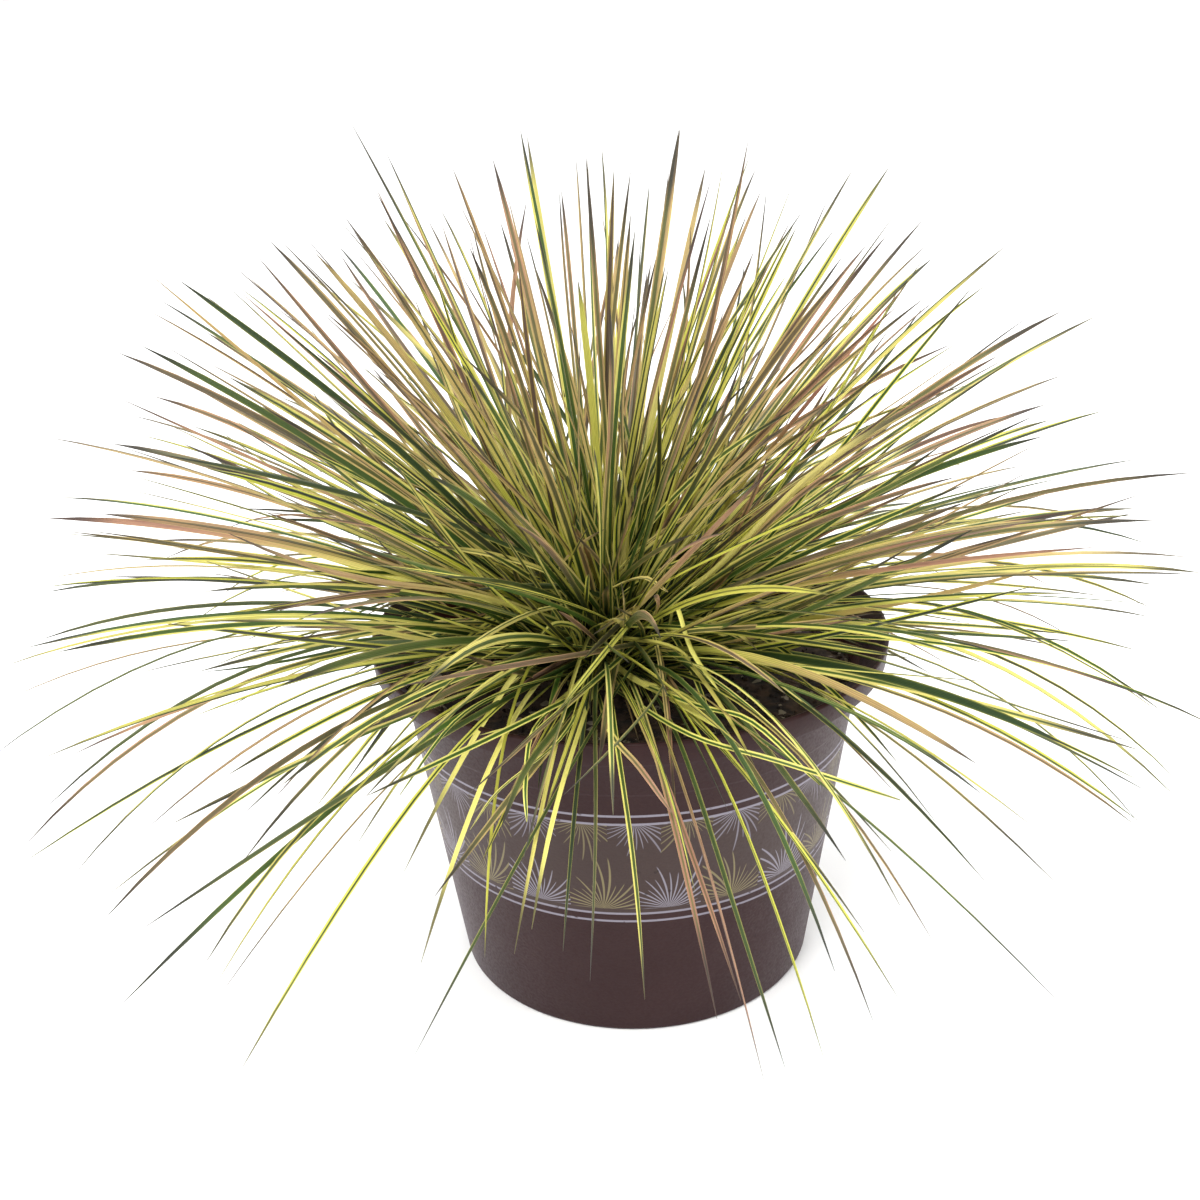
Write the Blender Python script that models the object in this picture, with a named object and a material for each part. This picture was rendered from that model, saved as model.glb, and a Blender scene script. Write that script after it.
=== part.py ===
# Potted tufted hair grass: a tussock of narrow folded leaves in a tapered plastic pot.
# Metres, +Z up. The origin is the middle of the pot's underside, and the shown side faces -Y.

import math
import random

import bmesh
import bpy
from mathutils import Vector

# Pot, a thin moulded shell turned about Z
POT_HEIGHT = 0.136
POT_SIDES = 36
RIM_RADIUS = 0.098
RIM_BAND = 0.0086
RIM_FLARE = 0.010
RIM_ROUND = 0.0010
WALL = 0.0016
BASE_RADIUS = 0.0698
BODY_RADIUS = 0.0886
LEDGE_HEIGHT = 0.110
LEDGE_STEP = 0.0008
CORNER = 0.0017
DRAIN_HOLES = 6
DRAIN_RADIUS = 0.0055
DRAIN_CIRCLE = 0.050

# Potting mix, which fills the pot to a little under the rim
SOIL_TOP = 0.120
SOIL_FLAT_RADIUS = 0.036
SOIL_RINGS = (0.86, 0.66)
SOIL_LUMP = 0.0022
SOIL_SEED = 4
GAP = 0.0003

# Crown, the packed leaf bases in the middle of the tussock
CROWN_X = -0.009
CROWN_RADIUS = 0.026
CROWN_HEIGHT = 0.022
CROWN_SIDES = 24
CROWN_GROOVE = 0.0009

# Tillers, the shoots of the tussock, each a sheath with a few leaves fused to it
TILLERS = 49
TILLER_SEED = 20
GOLDEN_ANGLE = math.radians(137.5)
OUTER_ROOT_LEAN = math.radians(74)
UPRIGHT_REACH = 0.200
SIDE_REACH = 0.228
OUTER_TIP_LEAN = math.radians(97)
HEADING_LEAN = 0.8
HEADING_SHARE = 0.5
LEAVES_EACH = (4, 4, 5, 5)
SHEATH_RADIUS = 0.0023
SHEATH_LENGTH = 0.008
LEAF_SPREAD = 0.026
LEAST_SPREAD = 0.75
LEAST_REACH = 0.86
LEAF_HALF_WIDTH = 0.0019
LEAF_KEEL = 0.0009
LEAF_GROOVE = 0.0001
LEAF_FOLD = 0.0006
BASE_WIDTH = 0.75
WIDEST_AT = 0.4
TIP_TAPER = 0.6
LEAF_ELBOW = 0.58
LEAF_PARTING = 0.12
ARCHED_FROM = math.radians(16)
ARCHED_STEPS = (0.2, 0.42, 0.64, 0.85)
STRAIGHT_STEPS = (0.25, 0.55, 0.82)
RIM_CLEARANCE = 0.0035
FLOOR_CLEARANCE = 0.004
RAISE = 0.04
MOST_RAISES = 40

COLOURS = {
    "pot": (0.075, 0.038, 0.038),
    "soil": (0.018, 0.014, 0.012),
    "crown": (0.16, 0.20, 0.05),
    "leaf": (0.33, 0.36, 0.10),
}
ROUGHNESS = {"pot": 0.5, "soil": 0.95, "crown": 0.7, "leaf": 0.55}


def clear_scene():
    for obj in list(bpy.data.objects):
        bpy.data.objects.remove(obj, do_unlink=True)


def make_material(name):
    material = bpy.data.materials.new(name)
    material.use_nodes = True
    shader = material.node_tree.nodes["Principled BSDF"]
    shader.inputs["Base Color"].default_value = (*COLOURS[name], 1)
    shader.inputs["Roughness"].default_value = ROUGHNESS[name]
    shader.inputs["Metallic"].default_value = 0
    return material


def place(name, bm, material, smooth=True):
    """Makes a closed bmesh an object with its faces out."""
    bmesh.ops.recalc_face_normals(bm, faces=bm.faces)
    mesh = bpy.data.meshes.new(name)
    bm.to_mesh(mesh)
    bm.free()
    mesh.materials.append(material)
    if smooth:
        mesh.shade_smooth()
        mesh.set_sharp_from_angle(angle=math.radians(40))
    obj = bpy.data.objects.new(name, mesh)
    bpy.context.collection.objects.link(obj)
    return obj


def inner_radius(height):
    """Radius of the pot's inner wall at a height, from its floor to the foot of the flare."""
    low = BASE_RADIUS - WALL - LEDGE_STEP / 2
    high = BODY_RADIUS - WALL - LEDGE_STEP / 2
    return low + (high - low) * (height - WALL) / (POT_HEIGHT - RIM_FLARE - WALL)


def pot_profile():
    """Outline of the wall from the underside's middle, up the outside and down the inside."""
    flare_foot = POT_HEIGHT - RIM_FLARE
    band_foot = POT_HEIGHT - RIM_BAND
    skirt = RIM_RADIUS - RIM_ROUND
    slope = (BODY_RADIUS - BASE_RADIUS) / flare_foot
    ledge_radius = BASE_RADIUS + slope * LEDGE_HEIGHT
    flare_top = POT_HEIGHT - 1.5 * WALL
    return [
        (0, 0),
        (BASE_RADIUS - CORNER, 0),
        (BASE_RADIUS, CORNER),
        (ledge_radius - LEDGE_STEP, LEDGE_HEIGHT - LEDGE_STEP),
        (ledge_radius, LEDGE_HEIGHT + LEDGE_STEP),
        (BODY_RADIUS, flare_foot),
        (skirt - WALL, flare_top),
        (skirt - WALL, band_foot),
        (skirt, band_foot),
        (RIM_RADIUS, POT_HEIGHT - RIM_ROUND),
        (RIM_RADIUS - RIM_ROUND, POT_HEIGHT),
        (RIM_RADIUS - 2 * RIM_ROUND, POT_HEIGHT),
        (inner_radius(flare_foot), flare_foot),
        (inner_radius(WALL), WALL),
        (0, WALL),
    ]


def turn(profile, sides):
    """Spins an outline whose ends lie on the axis into a closed bmesh."""
    bm = bmesh.new()
    points = [bm.verts.new((radius, 0, height)) for radius, height in profile]
    edges = [bm.edges.new(pair) for pair in zip(points, points[1:])]
    bmesh.ops.spin(
        bm,
        geom=points + edges,
        axis=(0, 0, 1),
        cent=(0, 0, 0),
        angle=math.tau,
        steps=sides,
    )
    bmesh.ops.remove_doubles(bm, verts=bm.verts, dist=0.00001)
    return bm


def make_drain_cutter():
    bm = bmesh.new()
    for i in range(DRAIN_HOLES):
        angle = math.tau * i / DRAIN_HOLES
        made = bmesh.ops.create_cone(
            bm,
            cap_ends=True,
            segments=8,
            radius1=DRAIN_RADIUS,
            radius2=DRAIN_RADIUS,
            depth=WALL * 4,
        )
        middle = Vector((math.cos(angle), math.sin(angle), 0)) * DRAIN_CIRCLE
        bmesh.ops.translate(bm, verts=made["verts"], vec=middle)
    cutter = place("drain_cutter", bm, bpy.data.materials["pot"])
    cutter.hide_render = True
    cutter.display_type = "WIRE"
    return cutter


def make_pot():
    pot = place("pot", turn(pot_profile(), POT_SIDES), bpy.data.materials["pot"])
    drain = pot.modifiers.new("drain_holes", "BOOLEAN")
    drain.operation = "DIFFERENCE"
    drain.object = make_drain_cutter()
    return pot


def make_soil():
    """Potting mix: the pot's inside, with a lumpy top that is flat under the crown."""
    rng = random.Random(SOIL_SEED)
    edge_height = SOIL_TOP - SOIL_LUMP
    edge_radius = inner_radius(edge_height) - GAP
    rings = [
        (inner_radius(WALL) - GAP, WALL + GAP, 0),
        (edge_radius, edge_height, 0),
        (SOIL_RINGS[0] * edge_radius, edge_height, SOIL_LUMP),
        (SOIL_RINGS[1] * edge_radius, SOIL_TOP - SOIL_LUMP / 2, SOIL_LUMP / 2),
        (SOIL_FLAT_RADIUS + abs(CROWN_X), SOIL_TOP, 0),
    ]
    bm = bmesh.new()
    loops = []
    for radius, height, lump in rings:
        loop = []
        for i in range(POT_SIDES):
            angle = math.tau * i / POT_SIDES
            lift = rng.uniform(-lump, lump)
            point = (radius * math.cos(angle), radius * math.sin(angle), height + lift)
            loop.append(bm.verts.new(point))
        loops.append(loop)
    for lower, upper in zip(loops, loops[1:]):
        for i in range(POT_SIDES):
            j = (i + 1) % POT_SIDES
            bm.faces.new((lower[i], lower[j], upper[j], upper[i]))
    bm.faces.new(loops[0])
    bm.faces.new(loops[-1])
    return place("soil", bm, bpy.data.materials["soil"])


def crown_point(azimuth, lean, outside=0):
    """A point of the crown's dome, or that far outside it, by direction from its middle."""
    across = math.sin(lean)
    return Vector(
        (
            CROWN_X + (CROWN_RADIUS * across + outside * across) * math.cos(azimuth),
            (CROWN_RADIUS * across + outside * across) * math.sin(azimuth),
            SOIL_TOP + GAP + (CROWN_HEIGHT + outside) * math.cos(lean),
        )
    )


def make_crown():
    """A dome of packed leaf bases, grooved from its foot to its top."""
    leans = [math.radians(degrees) for degrees in (90, 66, 42, 20)]
    bm = bmesh.new()
    loops = []
    for lean in leans:
        loop = []
        for i in range(CROWN_SIDES):
            groove = -CROWN_GROOVE if i % 2 else 0
            loop.append(bm.verts.new(crown_point(math.tau * i / CROWN_SIDES, lean, groove)))
        loops.append(loop)
    top = bm.verts.new(crown_point(0, 0))
    for lower, upper in zip(loops, loops[1:]):
        for i in range(CROWN_SIDES):
            j = (i + 1) % CROWN_SIDES
            bm.faces.new((lower[i], lower[j], upper[j], upper[i]))
    for i in range(CROWN_SIDES):
        bm.faces.new((loops[-1][i], loops[-1][(i + 1) % CROWN_SIDES], top))
    foot = [vert.co.copy() for vert in loops[0]]
    height = min(point.z for point in foot)
    for vert in loops[0]:
        vert.co.z = height
    bm.faces.new(loops[0])
    return place("crown", bm, bpy.data.materials["crown"])


def direction(azimuth, lean):
    """Unit vector at a compass angle about Z and an angle from straight up."""
    across = math.sin(lean)
    return Vector((across * math.cos(azimuth), across * math.sin(azimuth), math.cos(lean)))


def around(way, angle):
    """Unit vector square to a way, at an angle round it from the level."""
    level = way.cross(Vector((0, 0, 1))).normalized()
    return level * math.cos(angle) + level.cross(way) * math.sin(angle)


def bend(start, heading, tip, step):
    """Point of a leaf's curve, which leaves its start along the heading and ends at the tip."""
    elbow = start + heading * LEAF_ELBOW * (tip - start).length
    return start * (1 - step) ** 2 + elbow * 2 * step * (1 - step) + tip * step**2


def steps_of(start, heading, tip):
    """How far along a leaf its sections stand: closer together on one that arches."""
    arched = heading.angle(tip - start) > ARCHED_FROM
    return ARCHED_STEPS if arched else STRAIGHT_STEPS


def leaf_line(start, heading, tip):
    """Points down the middle of a leaf, from its sheath to its tip."""
    steps = steps_of(start, heading, tip)
    return [start] + [bend(start, heading, tip, step) for step in steps] + [tip]


def clears_rim(line):
    """Whether a leaf passes over the pot's rim without touching it."""
    for here, ahead in zip(line, line[1:]):
        for share in (0, 0.2, 0.4, 0.6, 0.8):
            point = here.lerp(ahead, share)
            radius = math.hypot(point.x, point.y)
            over_rim = BODY_RADIUS - RIM_CLEARANCE < radius < RIM_RADIUS + RIM_CLEARANCE
            if over_rim and point.z < POT_HEIGHT + RIM_CLEARANCE:
                return False
    return True


def leaf_base(root, heading, angle):
    """Where a leaf leaves its sheath's top, its own heading and the way its keel faces."""
    keel_way = around(heading, angle)
    start = root + heading * SHEATH_LENGTH + keel_way * SHEATH_RADIUS / 2
    return start, (heading + keel_way * LEAF_PARTING).normalized(), keel_way


def raised_heading(root, heading, tips):
    """The heading turned upwards until every one of the tiller's leaves clears the rim."""
    raised = heading.copy()
    for _ in range(MOST_RAISES):
        lines = []
        for angle, tip in tips:
            start, leaf_heading, _ = leaf_base(root, raised, angle)
            lines.append(leaf_line(start, leaf_heading, tip))
        if all(clears_rim(line) for line in lines):
            break
        raised = (raised + Vector((0, 0, RAISE))).normalized()
    return raised


def reach_of(lean):
    """Distance from the crown's middle to the leaf tips: shortest upright, longest sideways."""
    return UPRIGHT_REACH + (SIDE_REACH - UPRIGHT_REACH) * math.sin(lean) ** 2


def tiller_plan(index, rng):
    """Where a tiller stands on the crown, its lean there, its heading and its leaves' tips."""
    share = (index + 0.5) / TILLERS
    azimuth = index * GOLDEN_ANGLE
    root_lean = math.acos(1 - share * (1 - math.cos(OUTER_ROOT_LEAN)))
    tip_lean = math.acos(1 - share * (1 - math.cos(OUTER_TIP_LEAN)))
    root = crown_point(azimuth, root_lean, GAP * 2)
    stand = direction(azimuth, root_lean)
    aim = direction(azimuth, tip_lean)
    outward = direction(azimuth, root_lean * HEADING_LEAN)
    heading = (outward * HEADING_SHARE + aim).normalized()
    leaves = rng.choice(LEAVES_EACH)
    turn_start = rng.uniform(0, math.tau)
    middle = Vector((CROWN_X, 0, SOIL_TOP))
    tips = []
    for i in range(leaves):
        angle = turn_start + math.tau * i / leaves
        reach = reach_of(tip_lean) * rng.uniform(LEAST_REACH, 1.0)
        spread = LEAF_SPREAD * rng.uniform(LEAST_SPREAD, 1.0)
        tip = middle + aim * reach + around(aim, angle) * spread
        tip.z = max(tip.z, FLOOR_CLEARANCE)
        tips.append((angle, tip))
    return root, stand, raised_heading(root, heading, tips), tips


def leaf_section(middle, keel_way, side_way, half_width):
    """Left edge, keel, right edge and groove of the folded leaf at one place."""
    size = half_width / LEAF_HALF_WIDTH
    edge_lift = -keel_way * LEAF_FOLD * size
    return [
        middle - side_way * half_width + edge_lift,
        middle + keel_way * LEAF_KEEL * size,
        middle + side_way * half_width + edge_lift,
        middle - keel_way * LEAF_GROOVE * size,
    ]


def half_width_at(step):
    """Half the leaf's width along it: widest at two fifths, narrowing to a point."""
    if step < WIDEST_AT:
        return LEAF_HALF_WIDTH * (BASE_WIDTH + (1 - BASE_WIDTH) * step / WIDEST_AT)
    beyond = (step - WIDEST_AT) / (1 - WIDEST_AT)
    return LEAF_HALF_WIDTH * (1 - beyond**2) ** TIP_TAPER


def grow_leaf(bm, loop, keel_way, start, heading, tip):
    """Runs one leaf from its part of the sheath's top to its tip."""
    line = leaf_line(start, heading, tip)
    keel = keel_way.copy()
    before = heading
    for i, step in enumerate(steps_of(start, heading, tip), 1):
        along = (line[i + 1] - line[i - 1]).normalized()
        keel.rotate(before.rotation_difference(along))
        before = along
        keel = (keel - along * keel.dot(along)).normalized()
        section = leaf_section(line[i], keel, keel.cross(along), half_width_at(step))
        ring = [bm.verts.new(point) for point in section]
        for j in range(4):
            k = (j + 1) % 4
            bm.faces.new((loop[j], loop[k], ring[k], ring[j]))
        loop = ring
    point = bm.verts.new(tip)
    for j in range(4):
        bm.faces.new((loop[j], loop[(j + 1) % 4], point))


def make_tiller(index, rng):
    """One shoot: a short sheath on the crown, parted into leaves that share its top."""
    root, stand, heading, tips = tiller_plan(index, rng)
    leaves = len(tips)
    bm = bmesh.new()
    top = root + heading * SHEATH_LENGTH
    centre = bm.verts.new(top)
    rim = []
    foot = []
    for i in range(2 * leaves):
        corner = around(heading, tips[0][0] + math.pi * (i - 1) / leaves)
        flat = corner - stand * corner.dot(stand)
        rim.append(bm.verts.new(top + corner * SHEATH_RADIUS))
        foot.append(bm.verts.new(root + flat * SHEATH_RADIUS))
    for i in range(2 * leaves):
        j = (i + 1) % (2 * leaves)
        bm.faces.new((foot[i], foot[j], rim[j], rim[i]))
    bm.faces.new(foot)
    for i, (angle, tip) in enumerate(tips):
        start, leaf_heading, keel_way = leaf_base(root, heading, angle)
        loop = [rim[2 * i], rim[2 * i + 1], rim[(2 * i + 2) % (2 * leaves)], centre]
        grow_leaf(bm, loop, keel_way, start, leaf_heading, tip)
    return place(f"tiller_{index + 1:02d}", bm, bpy.data.materials["leaf"], smooth=False)


def main():
    clear_scene()
    for name in COLOURS:
        make_material(name)
    make_pot()
    make_soil()
    make_crown()
    rng = random.Random(TILLER_SEED)
    for index in range(TILLERS):
        make_tiller(index, rng)


main()
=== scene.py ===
import math
import random

import bmesh
import bpy
import numpy as np
from mathutils import Matrix, Quaternion, Vector, noise


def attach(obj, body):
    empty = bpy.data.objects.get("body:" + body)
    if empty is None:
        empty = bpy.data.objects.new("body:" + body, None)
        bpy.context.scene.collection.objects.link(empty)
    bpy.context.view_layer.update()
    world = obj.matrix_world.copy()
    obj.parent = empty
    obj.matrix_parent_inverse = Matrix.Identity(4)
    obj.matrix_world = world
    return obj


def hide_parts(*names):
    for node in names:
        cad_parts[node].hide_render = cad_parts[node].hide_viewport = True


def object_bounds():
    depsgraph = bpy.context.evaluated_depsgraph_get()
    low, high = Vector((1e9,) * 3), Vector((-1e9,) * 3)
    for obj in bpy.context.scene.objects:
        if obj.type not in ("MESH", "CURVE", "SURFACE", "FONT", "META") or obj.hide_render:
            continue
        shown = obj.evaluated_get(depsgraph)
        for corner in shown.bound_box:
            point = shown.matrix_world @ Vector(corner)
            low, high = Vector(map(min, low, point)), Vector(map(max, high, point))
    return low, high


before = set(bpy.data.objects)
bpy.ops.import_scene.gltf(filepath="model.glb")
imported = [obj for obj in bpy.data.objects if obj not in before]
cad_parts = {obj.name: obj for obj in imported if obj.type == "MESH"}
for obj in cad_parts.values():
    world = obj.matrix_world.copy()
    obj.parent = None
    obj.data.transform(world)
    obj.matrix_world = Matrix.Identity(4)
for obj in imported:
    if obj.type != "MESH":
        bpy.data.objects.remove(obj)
cadLow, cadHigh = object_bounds()
scene = bpy.context.scene
print("frame loaded,", len(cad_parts), "nodes")


def tone(red, green, blue):
    # a screen colour, 0 to 255, as the linear colour that sockets take
    def linear(value):
        share = value / 255
        return share / 12.92 if share < 0.04045 else ((share + 0.055) / 1.055) ** 2.4
    return (linear(red), linear(green), linear(blue), 1.0)


# Node helpers, for shaders and for geometry alike

def addNode(tree, kind, inputs=None, **settings):
    node = tree.nodes.new(kind)
    for name, value in settings.items():
        setattr(node, name, value)
    for key, value in (inputs or {}).items():
        if isinstance(value, bpy.types.NodeSocket):
            tree.links.new(value, node.inputs[key])
        else:
            node.inputs[key].default_value = value
    return node


def calc(tree, operation, *values):
    inputs = {i: value for i, value in enumerate(values)}
    return addNode(tree, "ShaderNodeMath", inputs, operation=operation).outputs[0]


def times(tree, first, second):
    return calc(tree, "MULTIPLY", first, second)


def plus(tree, first, second):
    return calc(tree, "ADD", first, second)


def minus(tree, first, second):
    return calc(tree, "SUBTRACT", first, second)


def scaled(tree, value, factor, offset):
    return calc(tree, "MULTIPLY_ADD", value, factor, offset)


def hypotenuse(tree, first, second):
    return calc(tree, "SQRT", plus(tree, calc(tree, "POWER", first, 2.0), calc(tree, "POWER", second, 2.0)))


def ramp(tree, value, fromLow, fromHigh, toLow=0.0, toHigh=1.0):
    # a smooth step between two values
    inputs = {0: value, 1: fromLow, 2: fromHigh, 3: toLow, 4: toHigh}
    return addNode(tree, "ShaderNodeMapRange", inputs, interpolation_type="SMOOTHSTEP").outputs[0]


def blend(tree, share, first, second, mode="MIX"):
    inputs = {0: share, 6: first, 7: second}
    node = addNode(tree, "ShaderNodeMix", inputs, data_type="RGBA", blend_type=mode)
    return node.outputs[2]


def grain(tree, vector, scale, detail=3.0, rough=0.55):
    inputs = {"Vector": vector, "Scale": scale, "Detail": detail, "Roughness": rough}
    return addNode(tree, "ShaderNodeTexNoise", inputs).outputs["Fac"]


def joined(tree, x, y, z):
    return addNode(tree, "ShaderNodeCombineXYZ", {0: x, 1: y, 2: z}).outputs[0]


def attribute(tree, name):
    return addNode(tree, "ShaderNodeAttribute", attribute_name=name).outputs["Fac"]


def startMaterial(name):
    material = bpy.data.materials.new(name)
    material.use_nodes = True
    tree = material.node_tree
    return material, tree, tree.nodes["Principled BSDF"]


def bumped(tree, shader, height, strength, distance):
    inputs = {"Height": height, "Strength": strength, "Distance": distance}
    bump = addNode(tree, "ShaderNodeBump", inputs)
    tree.links.new(bump.outputs["Normal"], shader.inputs["Normal"])


def startGroup(name, kind, inputs, outputs):
    # a node group with its named sockets, given as name, type and default
    tree = bpy.data.node_groups.new(name, kind)
    for label, form, default in inputs:
        socket = tree.interface.new_socket(label, in_out="INPUT", socket_type="NodeSocket" + form)
        if default is not None:
            socket.default_value = default
    for label, form in outputs:
        tree.interface.new_socket(label, in_out="OUTPUT", socket_type="NodeSocket" + form)
    return tree, addNode(tree, "NodeGroupInput").outputs, addNode(tree, "NodeGroupOutput")


def endGroup(tree, last, given, result):
    # every tree of geometry ends in plain mesh with its material
    real = addNode(tree, "GeometryNodeRealizeInstances", {0: last.outputs[0]})
    inputs = {"Geometry": real.outputs[0], "Material": given["Material"]}
    finished = addNode(tree, "GeometryNodeSetMaterial", inputs)
    tree.links.new(finished.outputs[0], result.inputs[0])


# Shared shader effects

def makeFibreGroup():
    # fine lines that run along a blade or a sheath, broken up by a stretched noise
    inputs = (("Across", "Float", 0), ("Along", "Float", 0), ("Lines", "Float", 7), ("Seed", "Float", 0))
    outputs = (("Lines", "Float"), ("Mottle", "Float"))
    tree, given, result = startGroup("fibreLines", "ShaderNodeTree", inputs, outputs)
    place = joined(tree, given["Across"], times(tree, given["Along"], 0.6), given["Seed"])
    warp = grain(tree, place, 3.0, 2.0)
    turned = plus(tree, times(tree, given["Across"], given["Lines"]), times(tree, warp, 0.6))
    wave = calc(tree, "SINE", times(tree, turned, math.pi))
    longWay = joined(tree, given["Across"], times(tree, given["Along"], 7.0), given["Seed"])
    tree.links.new(scaled(tree, wave, 0.5, 0.5), result.inputs["Lines"])
    tree.links.new(grain(tree, longWay, 1.6, 4.0, 0.6), result.inputs["Mottle"])
    return tree


def makeDustGroup():
    # specks of soil and pale water marks, as two masks
    inputs = (("Vector", "Vector", None), ("Amount", "Float", 0.5))
    outputs = (("Specks", "Float"), ("Marks", "Float"))
    tree, given, result = startGroup("dustAndMarks", "ShaderNodeTree", inputs, outputs)
    cells = addNode(tree, "ShaderNodeTexVoronoi", {"Vector": given["Vector"], "Scale": 260.0})
    patches = ramp(tree, grain(tree, given["Vector"], 22.0, 4.0), 0.52, 0.7)
    specks = times(tree, ramp(tree, cells.outputs["Distance"], 0.22, 0.1), patches)
    marks = ramp(tree, grain(tree, given["Vector"], 9.0, 6.0, 0.65), 0.48, 0.72)
    tree.links.new(times(tree, specks, given["Amount"]), result.inputs["Specks"])
    tree.links.new(times(tree, marks, given["Amount"]), result.inputs["Marks"])
    return tree


fibreGroup = makeFibreGroup()
dustGroup = makeDustGroup()

# Leaf: green stripe, cream to lime margins, tan and mauve outer half, dark point

leafFinish = {
    "darkGreen": tone(20, 40, 14),
    "midGreen": tone(70, 106, 30),
    "lime": tone(194, 196, 60),
    "cream": tone(242, 232, 134),
    "tan": tone(182, 132, 102),
    "mauve": tone(130, 84, 88),
    "point": tone(40, 34, 36),
    "sheath": tone(122, 150, 54),
    "roughness": (0.42, 0.62),
}


def makeLeafMaterial():
    material, tree, shader = startMaterial("leaf_finish")
    along, across = attribute(tree, "along"), attribute(tree, "across")
    tint, blush = attribute(tree, "tint"), attribute(tree, "blush")
    kind, upper = attribute(tree, "kind"), attribute(tree, "upper")
    fibres = addNode(tree, "ShaderNodeGroup", node_tree=fibreGroup)
    for name, value in (("Across", across), ("Along", along)):
        tree.links.new(value, fibres.inputs[name])
    tree.links.new(scaled(tree, tint, 37.0, kind), fibres.inputs["Seed"])
    fibres.inputs["Lines"].default_value = 6.0
    lines, mottle = fibres.outputs["Lines"], fibres.outputs["Mottle"]
    fromMiddle = calc(tree, "ABSOLUTE", across)
    ragged = scaled(tree, mottle, 0.22, fromMiddle)
    # the stripe is widest on leaves of a low kind, and gone on those of the highest
    stripeWidth = scaled(tree, kind, -0.55, 0.84)
    inStripe = ramp(tree, minus(tree, stripeWidth, ragged), -0.1, 0.1)
    inStripe = times(tree, inStripe, ramp(tree, kind, 0.9, 0.84))
    allGreen = ramp(tree, kind, 0.16, 0.1)
    green = blend(tree, tint, leafFinish["darkGreen"], leafFinish["midGreen"])
    margin = blend(tree, tint, leafFinish["lime"], leafFinish["cream"])
    margin = blend(tree, times(tree, allGreen, 0.85), margin, green)
    # towards the base the margins turn greener
    nearBase = ramp(tree, along, 0.34, 0.02)
    margin = blend(tree, times(tree, nearBase, 0.55), margin, leafFinish["sheath"])
    colour = blend(tree, inStripe, margin, green)
    outer = ramp(tree, scaled(tree, mottle, 0.25, along), 0.3, 0.86)
    blushTone = blend(tree, mottle, leafFinish["mauve"], leafFinish["tan"])
    share = times(tree, times(tree, outer, blush), scaled(tree, inStripe, -0.6, 1.0))
    colour = blend(tree, share, colour, blushTone)
    # pale edge line
    edge = ramp(tree, fromMiddle, 0.84, 0.98)
    colour = blend(tree, times(tree, edge, 0.35), colour, leafFinish["cream"])
    point = ramp(tree, scaled(tree, tint, 0.14, along), 0.92, 1.04)
    colour = blend(tree, times(tree, point, 0.85), colour, leafFinish["point"])
    # fibre lines and mottle darken the colour, and painted shade darkens it further
    linesAndPaintedShade = scaled(tree, lines, 0.46, 0.75)
    linesAndPaintedShade = times(tree, linesAndPaintedShade, scaled(tree, mottle, 0.5, 0.78))
    # painted shade: the under side of each folded blade is made darker than its upper side
    paintedUnderShade = scaled(tree, ramp(tree, upper, -0.2, 0.2), 0.16, 0.84)
    linesAndPaintedShade = times(tree, linesAndPaintedShade, paintedUnderShade)
    # the crowded bases are darker and greener: partly the sheaths' own darker green, partly painted shade
    # from the crowding
    linesAndPaintedShade = times(tree, linesAndPaintedShade, ramp(tree, along, 0.02, 0.38, 0.34, 1.0))
    colour = blend(tree, 1.0, colour, joined(tree, linesAndPaintedShade, linesAndPaintedShade, linesAndPaintedShade), "MULTIPLY")
    tree.links.new(colour, shader.inputs["Base Color"])
    rough = leafFinish["roughness"]
    tree.links.new(ramp(tree, mottle, 0.3, 0.7, rough[0], rough[1]), shader.inputs["Roughness"])
    bumped(tree, shader, lines, 0.35, 0.0003)
    return material


leafMaterial = makeLeafMaterial()

# Pot: thin satin brown plastic with a generic printed band

potFinish = {
    "plastic": tone(44, 24, 24),
    "faded": tone(56, 37, 37),
    # the inner wall: the same plastic, painted lighter and redder as if lit
    "inside": tone(84, 44, 34),
    "band": tone(74, 64, 60),
    "print": tone(150, 146, 158),
    "gold": tone(138, 128, 92),
    "soil": tone(30, 24, 20),
    "bandLow": 0.0575,
    "bandHigh": 0.0975,
    "bandEdge": 0.0006,
    "lineGap": 0.0035,
    "lineWidth": 0.0009,
    # the run round the wall is measured at this radius, and the inner wall's line is foot + slope * height
    "runRadius": 0.0785,
    "wallFoot": 0.0689,
    "wallSlope": 0.149,
    # each row of sprigs: the height it grows from, its way, and a cell's width, height and start
    "rows": (
        {"foot": 0.0985, "way": -1, "width": 0.0175, "tall": 0.020, "shift": 0.5, "strength": 0.5},
        {"foot": 0.0595, "way": 1, "width": 0.0235, "tall": 0.026, "shift": 0.0, "strength": 0.68},
    ),
}


def pinstripe(tree, height, level, width):
    offset = calc(tree, "ABSOLUTE", minus(tree, height, level))
    return ramp(tree, offset, width * 0.62, width * 0.42)


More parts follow.
